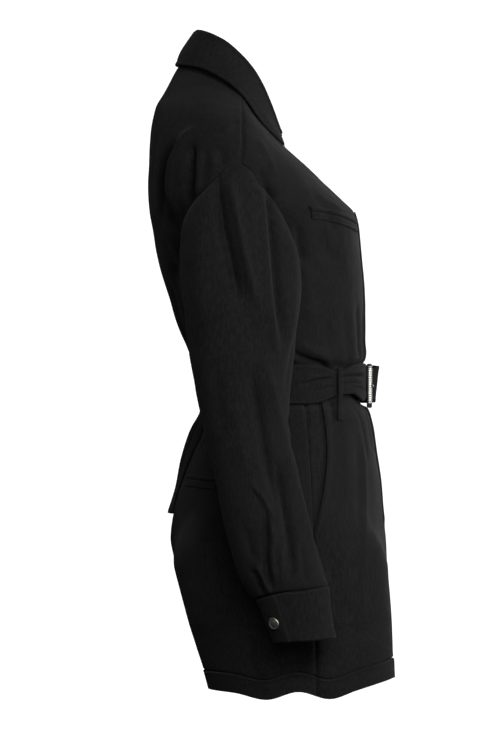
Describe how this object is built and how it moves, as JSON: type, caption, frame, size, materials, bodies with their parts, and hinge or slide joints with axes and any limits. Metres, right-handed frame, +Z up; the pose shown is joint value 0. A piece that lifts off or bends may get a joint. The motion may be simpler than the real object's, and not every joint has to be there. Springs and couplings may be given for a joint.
{
  "type": "romper",
  "caption": "Belted long-sleeve romper with an open shirt collar, dropped shoulders, welt pockets, snap cuffs and wide shorts, as worn.",
  "frame": {"origin": "between the high points of the shoulders, where a wearer's neck and shoulders hold the garment", "axes": "+Z up, -Y towards the wearer's front, -X towards the wearer's right"},
  "size_m": [0.5364, 0.3088, 0.8372],
  "materials": {
    "crepe": "matte black twill-faced crepe",
    "snap_metal": "satin nickel",
    "buckle_metal": "polished nickel"
  },
  "bodies": {
    "root": {"front_right": "crepe", "front_left": "crepe", "back": "crepe", "sleeve_right": "crepe", "sleeve_left": "crepe", "cuff_right": "crepe", "cuff_left": "crepe", "collar_stand": "crepe", "collar_leaf": "crepe", "placket": "crepe", "fly": "crepe", "breast_welt_right": "crepe", "breast_welt_left": "crepe", "back_welt_right": "crepe", "back_welt_left": "crepe", "pocket_facing_right": "crepe", "pocket_facing_left": "crepe", "sleeve_placket_right": "crepe", "sleeve_placket_left": "crepe", "shorts_front_right": "crepe", "shorts_front_left": "crepe", "shorts_back_right": "crepe", "shorts_back_left": "crepe", "belt": "crepe", "belt_end": "crepe", "belt_tail": "crepe", "belt_loop_front_right": "crepe", "belt_loop_front_left": "crepe", "belt_loop_back_right": "crepe", "belt_loop_back_left": "crepe", "snap_right": "snap_metal", "snap_left": "snap_metal", "buckle_frame": "buckle_metal", "buckle_prong": "buckle_metal"}
  },
  "joints": []
}
